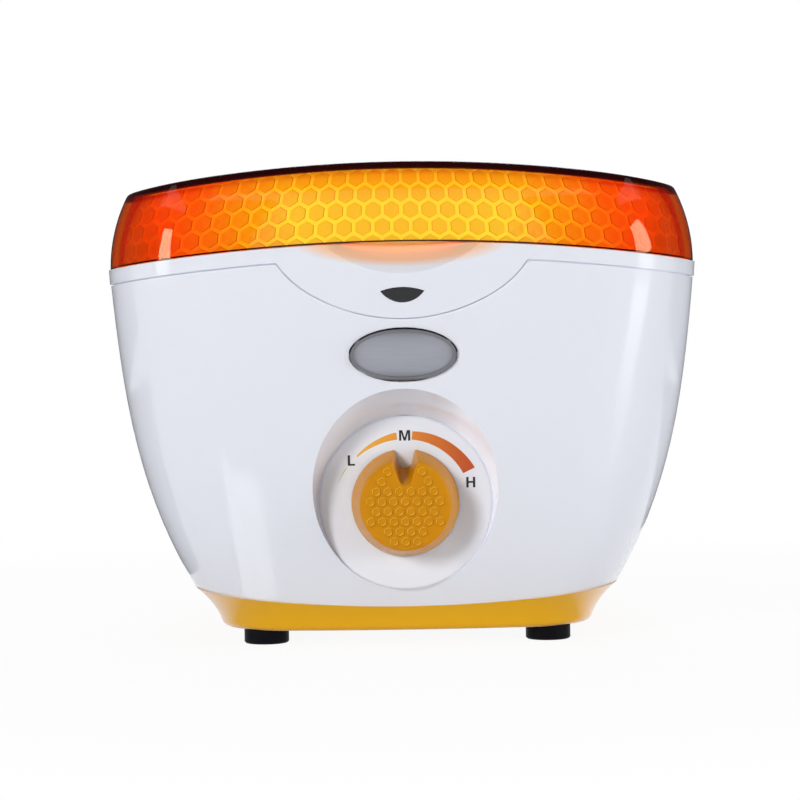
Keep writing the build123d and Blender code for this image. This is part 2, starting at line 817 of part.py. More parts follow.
clamp_face_x = band_gap / 2 + ear_thickness
with BuildPart() as heater_clamp_screw:
    with BuildSketch(Plane.YZ.offset(-clamp_face_x)):
        with Locations((clamp_y, ear_z)):
            Circle(clamp_screw_radius)
    extrude(amount=2 * clamp_face_x + clamp_nut_thickness + clamp_screw_tail)
    with BuildSketch(Plane.YZ.offset(-clamp_face_x)):
        with Locations((clamp_y, ear_z)):
            Circle(2 * clamp_screw_radius)
    extrude(amount=-clamp_nut_thickness)
keep(heater_clamp_screw, "heater_clamp_screw")

with BuildPart() as heater_clamp_nut:
    with BuildSketch(Plane.YZ.offset(clamp_face_x)):
        with Locations((clamp_y, ear_z)):
            RegularPolygon(2 * clamp_screw_radius, 6, major_radius=False)
            Circle(clamp_screw_radius, mode=Mode.SUBTRACT)
    extrude(amount=clamp_nut_thickness)
keep(heater_clamp_nut, "heater_clamp_nut")

# Thermal fuse in its clip, upright against the cup's left side under the band
fuse_x = -(band_inner + fuse_radius)
clip_outer_radius = fuse_radius + fuse_clip_wall
with BuildPart() as thermal_fuse:
    with BuildSketch(upright(band_low_z - fuse_length)):
        with Locations((fuse_x, 0)):
            Circle(fuse_radius)
    extrude(amount=fuse_length)
keep(thermal_fuse, "thermal_fuse")

with BuildPart() as fuse_clip:
    with BuildSketch(upright(band_low_z - (fuse_length + fuse_clip_width) / 2)):
        with Locations((fuse_x, 0)):
            SlotOverall(4 * fuse_radius + 2 * fuse_clip_wall, 2 * clip_outer_radius, rotation=90)
            Circle(fuse_radius, mode=Mode.SUBTRACT)
            Rectangle(
                2 * fuse_radius, 2 * fuse_radius, align=(Align.MIN, Align.CENTER), mode=Mode.SUBTRACT
            )
        Circle(band_inner, mode=Mode.SUBTRACT)
    extrude(amount=fuse_clip_width)
keep(fuse_clip, "fuse_clip")

# Heat shield: a sheet sleeve under the deck, with a window for the pilot lamp
with BuildPart() as heat_shield:
    with BuildSketch(upright(shield_low_z)):
        Circle(shield_radius + shield_sheet)
        Circle(shield_radius, mode=Mode.SUBTRACT)
    extrude(amount=deck_z - deck_thickness - shield_low_z)
    with BuildSketch(Plane.XZ):
        with Locations((0, shield_window_z)):
            Rectangle(shield_window, reach, align=(Align.CENTER, Align.MIN))
    extrude(amount=reach, mode=Mode.SUBTRACT)
keep(heat_shield, "heat_shield")

# Badge: chromed oval bezel and a plain brushed plate, seated in the housing's oval pocket
with BuildPart() as badge_bezel:
    with BuildSketch(badge_plane.offset(-badge_depth)):
        Ellipse(badge_width / 2, badge_height / 2)
        Ellipse(badge_width / 2 - bezel_width, badge_height / 2 - bezel_width, mode=Mode.SUBTRACT)
    extrude(amount=badge_depth + badge_proud)
    chamfer(badge_bezel.faces().sort_by(Axis.Y)[0].outer_wire().edges(), badge_proud / 2)
keep(badge_bezel, "badge_bezel")

with BuildPart() as badge_plate:
    with BuildSketch(badge_plane.offset(-badge_depth)):
        Ellipse(badge_width / 2 - bezel_width, badge_height / 2 - bezel_width)
    extrude(amount=badge_depth + badge_proud - plate_step)
keep(badge_plate, "badge_plate")

# Pilot light: smoked lens, neon lamp and its holder, from the front to the back
lens_back_y = lens_boss_y + lens_flange
lamp_front_y = lens_back_y + lamp_gap
with BuildPart() as indicator_lens:
    with BuildSketch(flat_at(lens_boss_y)):
        add(lens_outline())
    extrude(amount=half_depth(lens_z) + lens_proud + lens_boss_y)
    chamfer(indicator_lens.faces().sort_by(Axis.Y)[0].edges(), lens_edge)
    with BuildSketch(flat_at(lens_back_y)):
        add(lens_outline(lens_boss_wall))
    extrude(amount=lens_flange)
keep(indicator_lens, "indicator_lens")

with BuildPart() as lamp_holder:
    with BuildSketch(flat_at(lens_back_y + holder_wall)):
        add(lens_outline(lens_boss_wall))
    extrude(amount=holder_wall)
    with BuildSketch(flat_at(lens_back_y + holder_length)):
        with Locations((0, lens_centre_z)):
            Circle(lamp_radius + holder_wall)
    extrude(amount=holder_length)
    with BuildSketch(flat_at(0)):
        with Locations((0, lens_centre_z)):
            Circle(lamp_radius)
    extrude(amount=reach, mode=Mode.SUBTRACT)
keep(lamp_holder, "lamp_holder")

with BuildPart() as indicator_lamp:
    with BuildSketch(flat_at(lamp_front_y + lamp_length)):
        with Locations((0, lens_centre_z)):
            Circle(lamp_radius)
    extrude(amount=lamp_length)
    fillet(indicator_lamp.edges().group_by(Axis.Y)[0], lamp_end_round)
keep(indicator_lamp, "indicator_lamp")

# Mains inlet: a flanged rubber bush through the rear wall
with BuildPart() as cord_grommet:
    with BuildSketch(inlet_plane.offset(-inlet_depth)):
        Circle(grommet_radius)
    extrude(amount=inlet_depth - inlet_seat)
    with BuildSketch(inlet_plane.offset(-inlet_seat)):
        Circle(grommet_flange_radius)
    extrude(amount=grommet_flange)
    chamfer(cord_grommet.edges().group_by(Axis.Y)[-1], grommet_edge)
    with BuildSketch(inlet_plane):
        Circle(inlet_radius)
    extrude(amount=reach, both=True, mode=Mode.SUBTRACT)
keep(cord_grommet, "cord_grommet")

# Terminal block on the base floor
way_pitch = block_width / block_ways
with BuildPart() as terminal_block:
    with BuildSketch(upright(base_floor_z)):
        with Locations((0, block_y)):
            Rectangle(block_width, block_depth)
    extrude(amount=block_height)
    with BuildSketch(upright(base_floor_z + block_height)):
        with Locations((0, block_y)):
            with GridLocations(way_pitch, 1, block_ways, 1):
                Circle(block_screw_radius)
    extrude(amount=-block_screw_depth, mode=Mode.SUBTRACT)
keep(terminal_block, "terminal_block")

# Inside wires: each a straight-and-arc route from its terminal to the next
block_front_y = block_y - block_depth / 2
blade_tip_y = thermostat_back_y + terminal_reach
under_band = well_floor_z - 2 * bend
lamp_back_y = lamp_front_y + lamp_length
wire_gap_y = -(band_outer + shield_radius) / 2


def wire(name, *routes):
    """Sweeps round wires along routes with every corner rounded, and writes them as one node."""
    with BuildPart() as harness:
        for route in routes:
            with BuildLine() as path:
                FilletPolyline(*route, radius=bend)
            start = path.line @ 0
            with BuildSketch(Plane(start, z_dir=path.line % 0)):
                Circle(wire_radius)
            sweep(path=path.line)
    keep(harness, name)


band_middle = band_outer - band_thickness / 2
wire("live_wire", [
    (0, block_front_y, way_z),
    (0, block_front_y - way_stub, way_z),
    live_waypoint,
    (-terminal_x, blade_tip_y + terminal_stub, terminal_z),
    (-terminal_x, blade_tip_y, terminal_z),
])
wire("neutral_wire", [
    (-way_pitch, block_front_y, way_z),
    (-way_pitch, block_front_y - way_stub, way_z),
    (fuse_x + neutral_step, *neutral_waypoint),
    (fuse_x, 0, neutral_rise_z),
    (fuse_x, 0, band_low_z - fuse_length),
])
wire("heater_wire", [
    (terminal_x, blade_tip_y, terminal_z),
    (terminal_x, blade_tip_y + terminal_stub, terminal_z),
    (*heater_waypoint, under_band),
    (band_middle, 0, under_band),
    (band_middle, 0, band_low_z),
])


def lead(side):
    """One of the lamp's two leads, from the lamp down to the block."""
    start_x = side * lead_spread
    turn_x = lead_waypoint_x + start_x
    end_x = way_pitch + start_x
    return [
        (start_x, lamp_back_y, lens_centre_z),
        (start_x, wire_gap_y, lens_centre_z),
        (start_x, wire_gap_y, lead_low_z),
        (turn_x, wire_gap_y, lead_waypoint_z),
        (turn_x, *lead_drop),
        (end_x, 0, way_z),
        (end_x, block_front_y, way_z),
    ]


wire("lamp_wires", lead(-1), lead(1))
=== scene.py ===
import math

import bmesh
import bpy
from mathutils import Matrix, Vector
from mathutils.bvhtree import BVHTree


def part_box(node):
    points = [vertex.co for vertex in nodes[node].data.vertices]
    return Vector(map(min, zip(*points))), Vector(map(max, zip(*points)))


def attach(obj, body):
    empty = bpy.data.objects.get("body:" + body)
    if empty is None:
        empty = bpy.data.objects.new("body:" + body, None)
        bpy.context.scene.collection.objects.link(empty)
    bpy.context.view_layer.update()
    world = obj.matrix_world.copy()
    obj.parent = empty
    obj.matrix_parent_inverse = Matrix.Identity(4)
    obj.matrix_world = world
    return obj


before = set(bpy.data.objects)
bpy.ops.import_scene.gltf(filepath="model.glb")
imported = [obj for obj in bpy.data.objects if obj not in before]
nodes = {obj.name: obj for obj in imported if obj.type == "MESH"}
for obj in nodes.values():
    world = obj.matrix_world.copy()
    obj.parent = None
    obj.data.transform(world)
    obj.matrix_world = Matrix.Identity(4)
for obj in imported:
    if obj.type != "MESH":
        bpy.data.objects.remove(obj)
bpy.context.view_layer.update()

scene = bpy.context.scene

# Places on the object, in metres. The lid's rim and foot are arcs that fall by x² / 2r to both sides.
rim_arc, foot_arc = 0.42, 0.56
lid_rim_z, lid_foot_z = 0.1358, 0.1158
badge_z = 0.08405
dial_x, dial_z = 0.0, 0.0416


# Node helpers

def linear(r, g, b):
    """sRGB 0 to 255 to a linear colour."""
    out = []
    for value in (r, g, b):
        share = value / 255
        out.append(share / 12.92 if share <= 0.04045 else ((share + 0.055) / 1.055) ** 2.4)
    return (*out, 1.0)


def feed(tree, socket, value):
    """Gives an input a plain value, or links it to another node's output."""
    if isinstance(value, bpy.types.NodeSocket):
        tree.links.new(value, socket)
    else:
        socket.default_value = value


def add_node(tree, kind, **values):
    """A node with its inputs and settings given by name."""
    made = tree.nodes.new(kind)
    for key, value in values.items():
        if key in made.inputs:
            feed(tree, made.inputs[key], value)
        else:
            setattr(made, key, value)
    return made


def calc(tree, operation, *values):
    """A Math node on sockets or plain numbers."""
    made = add_node(tree, "ShaderNodeMath", operation=operation)
    for socket, value in zip(made.inputs, values):
        feed(tree, socket, value)
    return made.outputs[0]


def product(tree, first, *others):
    """The values, sockets or plain numbers, multiplied."""
    for value in others:
        first = calc(tree, "MULTIPLY", first, value)
    return first


def unsigned(tree, value):
    """The value without its sign."""
    return calc(tree, "ABSOLUTE", value)


def between(tree, value, low, high):
    """0 below low and 1 above high, or the other way round where low is the higher one."""
    limits = {"From Min": low, "From Max": high}
    return add_node(tree, "ShaderNodeMapRange", Value=value, **limits).outputs["Result"]


def span(tree, value, low, high):
    """value from 0..1 to low..high."""
    limits = {"To Min": low, "To Max": high}
    return add_node(tree, "ShaderNodeMapRange", Value=value, **limits).outputs["Result"]


def blend(tree, share, first, second, blend_type="MIX"):
    """A colour between two, each a socket or a plain colour."""
    made = add_node(tree, "ShaderNodeMix", data_type="RGBA", blend_type=blend_type)
    for index, value in ((0, share), (6, first), (7, second)):
        feed(tree, made.inputs[index], value)
    return made.outputs[2]


def ramp(tree, share, stops):
    """A colour from stops of a place, 0 to 1, and the colour there."""
    made = add_node(tree, "ShaderNodeValToRGB", Fac=share)
    elements = made.color_ramp.elements
    while len(elements) < len(stops):
        elements.new(0.5)
    for element, (position, colour) in zip(elements, stops):
        element.position = position
        element.color = colour
    return made.outputs["Color"]


def place_of(tree):
    """The place on the object, in metres."""
    return add_node(tree, "ShaderNodeTexCoord").outputs["Object"]


def axes_of(tree, vector=None):
    """The X, Y and Z of the place on the object, or of another vector."""
    return add_node(tree, "ShaderNodeSeparateXYZ", Vector=vector or place_of(tree)).outputs


def facing_of(tree):
    """The X, Y and Z of the way the surface faces."""
    return axes_of(tree, add_node(tree, "ShaderNodeNewGeometry").outputs["Normal"])


def distance_of(tree):
    """How far the place is from the middle of the floor under the object."""
    made = add_node(tree, "ShaderNodeVectorMath", operation="LENGTH")
    tree.links.new(place_of(tree), made.inputs[0])
    return made.outputs["Value"]


def level_over(tree, radius):
    """Height with the arc's fall at x added back: all places along one such arc get the same."""
    x, _, z = axes_of(tree)
    return calc(tree, "MULTIPLY_ADD", product(tree, x, x), 1 / (2 * radius), z)


def slant_of(tree):
    """0 where the surface faces the eye and 1 where it is seen edge on."""
    return add_node(tree, "ShaderNodeLayerWeight").outputs["Facing"]


def noise(tree, scale, detail=2.0, stretch=None):
    """Noise in object space, in features per metre."""
    place = place_of(tree)
    if stretch:
        place = add_node(tree, "ShaderNodeMapping", Scale=stretch, Vector=place).outputs["Vector"]
    return add_node(tree, "ShaderNodeTexNoise", Scale=scale, Detail=detail, Vector=place).outputs["Fac"]


def bump(tree, shader, height, distance):
    """Shades the surface as if it were raised by height times distance, in metres."""
    made = add_node(tree, "ShaderNodeBump", Strength=1.0, Distance=distance, Height=height)
    tree.links.new(made.outputs["Normal"], shader.inputs["Normal"])


def in_sight(tree):
    """1 for rays that show a thing, straight, mirrored or through glass, and 0 for all others."""
    paths = add_node(tree, "ShaderNodeLightPath").outputs
    indirect = calc(tree, "MAXIMUM", paths["Is Glossy Ray"], paths["Is Transmission Ray"])
    return calc(tree, "MAXIMUM", paths["Is Camera Ray"], indirect)


def mix_shader(tree, share, first, second):
    """The first shader at share 0 and the second at 1."""
    made = add_node(tree, "ShaderNodeMixShader", Fac=share)
    tree.links.new(first.outputs[0], made.inputs[1])
    tree.links.new(second.outputs[0], made.inputs[2])
    return made.outputs[0]


def new_material(name):
    """A material, its node tree and its Principled shader."""
    material = bpy.data.materials.new(name)
    material.use_nodes = True
    return material, *insides(material)


def insides(material):
    """A material's node tree and its Principled shader."""
    return material.node_tree, material.node_tree.nodes["Principled BSDF"]


def rough(tree, shader, grain, roughness, low, high):
    """Roughness that follows the grain, between these shares of the one given."""
    tree.links.new(span(tree, grain, roughness * low, roughness * high), shader.inputs["Roughness"])


def overlay(tree, shader, share, colour):
    """Lays a colour over the shader's own, by share."""
    base = shader.inputs["Base Color"]
    tree.links.new(blend(tree, share, base.links[0].from_socket, colour), base)


def glow(tree, shader, colour, strength):
    """Makes the surface give off light."""
    feed(tree, shader.inputs["Emission Color"], colour)
    feed(tree, shader.inputs["Emission Strength"], strength)


# Camera, lamps and the white background

def look(cam_obj, pitch_deg, roll_deg):
    """Turns the camera to look along +Y, pitched down and rolled about its own axis."""
    turn = Matrix.Rotation(math.radians(90 - pitch_deg), 4, "X")
    roll = Matrix.Rotation(math.radians(roll_deg), 4, "Z")
    cam_obj.rotation_euler = (turn @ roll).to_euler()


camera = bpy.data.objects.new("camera", bpy.data.cameras.new("camera"))
camera.data.sensor_width = 36.0
camera.data.lens = 132.3
camera.data.clip_start = 0.05
camera.data.clip_end = 20.0
camera.location = (-0.0011, -0.9, 0.104)
look(camera, 2.28, -0.9)
scene.collection.objects.link(camera)
scene.camera = camera


def area(name, place, aim, size, power, in_gloss=True):
    """A soft rectangular lamp that the camera doesn't see."""
    lamp = bpy.data.lights.new(name, "AREA")
    lamp.shape = "RECTANGLE"
    lamp.size, lamp.size_y = size
    lamp.energy = power
    obj = bpy.data.objects.new(name, lamp)
    obj.location = place
    obj.rotation_euler = (Vector(aim) - Vector(place)).to_track_quat("-Z", "Y").to_euler()
    obj.visible_camera = False
    obj.visible_transmission = False
    obj.visible_glossy = in_gloss
    scene.collection.objects.link(obj)


middle = (0, 0, 0.07)
area("key_left", (-0.77, -1.1, 0.48), middle, (0.3, 0.4), 10.6, in_gloss=False)
area("fill_right", (0.9, -0.95, 0.22), middle, (0.6, 0.5), 1.5, in_gloss=False)
area("side_right", (0.95, -0.3, 0.1), middle, (0.6, 0.5), 5.9, in_gloss=False)
area("top", (0, 0.1, 1.3), middle, (0.9, 0.9), 3.5)
area("back", (0, 1.1, 0.6), (0, 0, 0.12), (0.8, 0.7), 6.5)

world = bpy.data.worlds.new("studio")
world.use_nodes = True
scene.world = world
tree = world.node_tree
tree.nodes.clear()
output = add_node(tree, "ShaderNodeOutputWorld")
lit = add_node(tree, "ShaderNodeBackground", Color=(0.94, 0.96, 1.0, 1), Strength=0.1)
seen = add_node(tree, "ShaderNodeBackground", Color=(1, 1, 1, 1), Strength=1.0)
tree.links.new(mix_shader(tree, in_sight(tree), lit, seen), output.inputs["Surface"])
scene.view_settings.view_transform = "Standard"


# Materials

# Features per metre and height in metres of what mars each kind of surface
flow_scale, flow_wave = 14.0, 0.00004
scratch_scale, scratch_depth = 700.0, 0.000012
clear_scale, clear_wave = 60.0, 0.00002


def plastic(name, colour, roughness, shade=0.04, grain=900.0, depth=0.00001, gloss=0.5):
    """Moulded plastic: a slow shade and flow waviness, and a fine grain in gloss and height."""
    material, tree, shader = new_material(name)
    slow = noise(tree, flow_scale)
    fine = noise(tree, grain, 3.0)
    darker = tuple(channel * (1 - shade) for channel in colour[:3]) + (1.0,)
    tree.links.new(blend(tree, slow, darker, colour), shader.inputs["Base Color"])
    rough(tree, shader, fine, roughness, 0.85, 1.2)
    bump(tree, shader, calc(tree, "MULTIPLY_ADD", fine, depth / flow_wave, slow), flow_wave)
    shader.inputs["IOR"].default_value = 1.5
    shader.inputs["Specular IOR Level"].default_value = gloss
    return material


def worn_metal(tree, shader, grain, roughness):
    """Metal with a fine scratch grain in gloss and height."""
    rough(tree, shader, grain, roughness, 0.7, 1.4)
    bump(tree, shader, grain, scratch_depth)
    shader.inputs["Metallic"].default_value = 1.0


def metal(name, colour, roughness, stretch=None):
    """Metal with an even tone, its scratches along one way when stretch is given."""
    material, tree, shader = new_material(name)
    grain = noise(tree, scratch_scale, 4.0, stretch)
    darker = tuple(channel * 0.8 for channel in colour[:3]) + (1.0,)
    tree.links.new(blend(tree, grain, darker, colour), shader.inputs["Base Color"])
    worn_metal(tree, shader, grain, roughness)
    return material


def oval_metal(name, half_width, half_height, stops, roughness, stretch, scale):
    """Metal toned by stops from the middle of the badge, at 0, to the oval of these half sizes, at 1:
    painted reflection and shade.
    """
    material, tree, shader = new_material(name)
    x, _, z = axes_of(tree)
    up = calc(tree, "DIVIDE", calc(tree, "SUBTRACT", z, badge_z), half_height)
    wide = calc(tree, "POWER", unsigned(tree, calc(tree, "DIVIDE", x, half_width)), 6)
    tone = ramp(tree, calc(tree, "ADD", wide, product(tree, up, up)), stops)
    grain = noise(tree, scale, 4.0, stretch)
    streaks = blend(tree, grain, (0.78, 0.78, 0.79, 1.0), (1.0, 1.0, 1.0, 1.0))
    tree.links.new(blend(tree, 1.0, tone, streaks, "MULTIPLY"), shader.inputs["Base Color"])
    worn_metal(tree, shader, grain, roughness)
    return material


def clear(name, colour, roughness, density, ior):
    """Clear coloured plastic or glass: the colour comes from the length of the way through it."""
    material, tree, shader = new_material(name)
    shader.inputs["Base Color"].default_value = (1, 1, 1, 1)
    shader.inputs["Transmission Weight"].default_value = 1.0
    shader.inputs["IOR"].default_value = ior
    fine = noise(tree, clear_scale)
    rough(tree, shader, fine, roughness, 0.8, 1.2)
    bump(tree, shader, fine, clear_wave)
    volume = add_node(tree, "ShaderNodeVolumeAbsorption", Color=colour, Density=density)
    tree.links.new(volume.outputs[0], tree.nodes["Material Output"].inputs["Volume"])
    return material


shell_white, knob_orange = linear(229, 232, 240), linear(212, 142, 12)
white_gloss = plastic("white_gloss", shell_white, 0.09, shade=0.015)
ring_white = plastic("ring_white", shell_white, 0.09, shade=0.015)
dial_white = plastic("dial_white", linear(232, 235, 242), 0.2, shade=0.01)
yellow = plastic("yellow_satin", linear(234, 176, 14), 0.3, shade=0.05, gloss=0.25)
rubber = plastic(
    "foot_rubber", linear(16, 15, 20), 0.4, shade=0.2, grain=1500.0, depth=0.00003, gloss=0.05)
knob_amber = plastic("knob_amber", knob_orange, 0.2, shade=0.06, gloss=0.1)
knob_cells = plastic("knob_cells", knob_orange, 0.2, shade=0.06, gloss=0.1)
smoked = plastic("smoked_lens", linear(40, 40, 44), 0.08, shade=0.1, gloss=0.3)
holder_plastic = plastic("holder_plastic", linear(226, 226, 220), 0.4)
aluminium = metal("well_aluminium", linear(205, 207, 210), 0.32, stretch=(1, 1, 0.08))
silicone = plastic("silicone", linear(184, 70, 52), 0.55, shade=0.1)
sheet_steel = metal("sheet_steel", linear(170, 172, 176), 0.35, stretch=(1, 1, 0.1))
mica = metal("heater_mica", linear(140, 134, 120), 0.45)
screw_steel = metal("screw_steel", linear(180, 180, 184), 0.25)
brass = metal("brass_nut", linear(204, 168, 92), 0.25)
phenolic = plastic("thermostat_case", linear(34, 30, 28), 0.4, shade=0.2)
fuse_case = plastic("fuse_case", linear(226, 220, 206), 0.45)
block_plastic = plastic("block_plastic", linear(232, 230, 220), 0.4)
grommet = plastic("grommet_rubber", linear(222, 225, 230), 0.5, shade=0.08)
brown_wire = plastic("wire_brown", linear(92, 48, 22), 0.5, shade=0.1)
blue_wire = plastic("wire_blue", linear(30, 66, 150), 0.5, shade=0.1)
white_wire = plastic("wire_white", linear(222, 219, 210), 0.5, shade=0.05)
lamp_glass = clear("lamp_glass", (1.0, 0.7, 0.5, 1), 0.02, 60.0, 1.46)
amber = clear("amber_clear", (0.995, 0.92, 0.3, 1), 0.03, 1000.0, 1.34)
# Painted reflection: the bezel darkens towards its outer edge and turns bright at the very edge, as its
# rounded chrome mirrors
chrome = oval_metal("bezel_chrome", 0.0152, 0.0076, [
    (0.0, linear(136, 138, 144)), (0.76, linear(124, 125, 131)), (0.9, linear(92, 92, 97)),
    (0.955, linear(84, 84, 88)), (0.985, linear(232, 234, 238)),
], 0.16, None, scratch_scale)
# Painted shade: the badge plate is painted darker towards its edge
brushed = oval_metal("badge_brushed", 0.0142, 0.00635, [
    (0.0, linear(172, 174, 184)), (0.45, linear(164, 166, 176)), (0.8, linear(146, 148, 156)),
    (1.0, linear(128, 129, 136)),
], 0.35, (0.06, 1, 1), 1400.0)

# The base has a painted sheen: its colour is paled where it is seen edge on, as a painted reflection of the
# floor
tree, shader = insides(yellow)
overlay(tree, shader, between(tree, slant_of(tree), 0.5, 0.9), linear(252, 226, 206))

# The knob is a little see-through; its cells' flanks have a painted highlight up and left, painted shade
# down and right
tree, shader = insides(knob_amber)
shader.inputs["Subsurface Weight"].default_value = 0.25
shader.inputs["Subsurface Radius"].default_value = (1.0, 0.5, 0.15)
shader.inputs["Subsurface Scale"].default_value = 0.003
tree, shader = insides(knob_cells)
rightward, _, upward = facing_of(tree)
toward_light = calc(tree, "MULTIPLY_ADD", rightward, -0.6, product(tree, upward, 0.8))
overlay(tree, shader, between(tree, toward_light, 0.12, 0.4), linear(238, 182, 70))
overlay(tree, shader, between(tree, toward_light, -0.15, -0.5), linear(190, 118, 10))

# Painted shade: the lid's moulded rim and its lower edge, which are seen edge on, are painted a deep red,
# its walls a deeper red towards their outline, and the rim also glows a faint red though it is no lamp
tree, shader = insides(amber)
rim_start, rim_full = 0.13585, 0.13610
foot_start, foot_full = 0.11600, 0.11585
levelness = unsigned(tree, facing_of(tree)[2])
upright, wall = between(tree, levelness, 0.97, 0.9), between(tree, levelness, 0.85, 0.65)
rim = product(tree, between(tree, level_over(tree, rim_arc), rim_start, rim_full), upright)
foot_edge = between(tree, level_over(tree, foot_arc), foot_start, foot_full)
wall_outline = product(tree, between(tree, slant_of(tree), 0.28, 0.55), wall)
wall_painted_shade = blend(tree, wall_outline, (1, 1, 1, 1), linear(146, 26, 14))
edges = calc(tree, "MAXIMUM", rim, foot_edge)
tree.links.new(blend(tree, edges, wall_painted_shade, linear(58, 8, 14)), shader.inputs["Base Color"])
shader.inputs["Specular IOR Level"].default_value = 0.42
glow(tree, shader, linear(34, 3, 3), rim)

# Painted light: the warm light the lid throws on the ring's scoop is painted into its colour, an oval on
# its front, cut off at the lid's lower edge
tree, shader = insides(ring_white)
scoop_z, scoop_half_width, scoop_half_height = 0.1165, 0.0305, 0.0078
front_start, front_full = -0.0765, -0.0775
under_lid_start = 0.1164
x, y, z = axes_of(tree)
across = calc(tree, "DIVIDE", x, scoop_half_width)
up = calc(tree, "DIVIDE", calc(tree, "SUBTRACT", z, scoop_z), scoop_half_height)
oval = calc(tree, "ADD", product(tree, across, across), product(tree, up, up))
frontward = between(tree, facing_of(tree)[1], -0.35, -0.6)
on_front = product(tree, between(tree, y, front_start, front_full), frontward)
under_lid = between(tree, level_over(tree, foot_arc), under_lid_start, lid_foot_z)
painted_lid_light = product(tree, between(tree, oval, 1.05, 0.6), on_front, under_lid)
overlay(tree, shader, painted_lid_light, linear(243, 194, 156))

# Painted light: the thin edges that face each other in the seam, down and up, glow, though they are no lamp
edge_light = (0.9, 0.92, 1.0, 1)
seam_glow, rim_glow, bounce_glow = 0.18, 0.2, 0.19
for material, side, start_z, full_z in ((ring_white, -1.0, 0.120, 0.118), (white_gloss, 1.0, 0.086, 0.090)):
    tree, shader = insides(material)
    turned = between(tree, product(tree, facing_of(tree)[2], side), 0.25, 0.6)
    at_seam = between(tree, axes_of(tree)[2], start_z, full_z)
    glow(tree, shader, edge_light, product(tree, turned, at_seam, seam_glow))

# Painted light: the dial plate's rim glows too, and the right wall of its recess glows as a painted bounce
# from the white round it
tree, shader = insides(dial_white)
sideways = between(tree, unsigned(tree, facing_of(tree)[1]), 0.6, 0.4)
off_middle = between(tree, unsigned(tree, axes_of(tree)[0]), 0.0, 0.004)
glow(tree, shader, edge_light, product(tree, sideways, off_middle, rim_glow))
tree, shader = insides(white_gloss)
wall_left, wall_right = (0.008, 0.016), (0.030, 0.0285)
wall_top, wall_back = (0.074, 0.072), (-0.050, -0.055)
x, y, z = axes_of(tree)
on_right = product(tree, between(tree, x, *wall_right), between(tree, x, *wall_left))
low_in_front = product(tree, between(tree, z, *wall_top), between(tree, y, *wall_back))
leftward = between(tree, facing_of(tree)[0], -0.12, -0.6)
painted_bounce = product(tree, on_right, low_in_front, leftward)
seam = shader.inputs["Emission Strength"].links[0].from_socket
glow(tree, shader, edge_light, calc(tree, "MULTIPLY_ADD", painted_bounce, bounce_glow, seam))

finishes = {
    "lid": amber, "housing": white_gloss, "top_ring": ring_white, "dial_plate": dial_white,
    "base": yellow, "foot_front_left": rubber, "foot_front_right": rubber, "foot_rear_left": rubber,
    "foot_rear_right": rubber, "knob": knob_amber, "badge_bezel": chrome, "badge_plate": brushed,
    "indicator_lens": smoked, "indicator_lamp": lamp_glass, "lamp_holder": holder_plastic,
    "heating_well": aluminium, "well_gasket": silicone, "heat_shield": sheet_steel,
    "fuse_clip": sheet_steel, "knob_clip": sheet_steel, "heater_band": mica, "base_screws": screw_steel,
    "well_screws": screw_steel, "heater_clamp_screw": screw_steel, "heater_clamp_nut": screw_steel,
    "thermostat_shaft": screw_steel, "thermostat_nut": brass, "thermostat_body": phenolic,
    "thermal_fuse": fuse_case, "terminal_block": block_plastic, "cord_grommet": grommet,
    "live_wire": brown_wire, "neutral_wire": blue_wire, "heater_wire": white_wire,
    "lamp_wires": white_wire,
}
for name, material in finishes.items():
    slots = nodes[name].material_slots
    if not slots:
        nodes[name].data.materials.append(material)
    for material_slot in slots:
        material_slot.material = material


# Pieces

def piece(name, verts, faces, materials, body, indices=None, smooth=False):
    """A mesh piece with the given materials that rides on a body."""
    mesh = bpy.data.meshes.new(name)
    mesh.from_pydata([tuple(v) for v in verts], [], faces)
    for material in materials:
        mesh.materials.append(material)
    if indices:
        mesh.polygons.foreach_set("material_index", indices)
    mesh.polygons.foreach_set("use_smooth", [smooth] * len(mesh.polygons))
    mesh.validate()
    mesh.update()
    obj = bpy.data.objects.new(name, mesh)
    scene.collection.objects.link(obj)
    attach(obj, body)


def hexagon(radius):
    """Corners of a regular hexagon, pointy side up."""
    turns = [math.radians(30 + 60 * k) for k in range(6)]
    return [(radius * math.cos(turn), radius * math.sin(turn)) for turn in turns]


def ring_faces(outer, inner):
    """Six quads between two hexagons, each a list of vertex numbers."""
    return [(outer[k], outer[(k + 1) % 6], inner[(k + 1) % 6], inner[k]) for k in range(6)]


def lid_surface():
    """The lid's mesh, for casting rays at."""
    mesh = nodes["lid"].data
    return BVHTree.FromPolygons([v.co for v in mesh.vertices], [p.vertices for p in mesh.polygons])


def way_at(angle):
    """The level way out from the middle at an angle."""
    return Vector((math.cos(angle), math.sin(angle), 0))


# The lid's inner skin: a honeycomb of shallow cells moulded inside the skirt

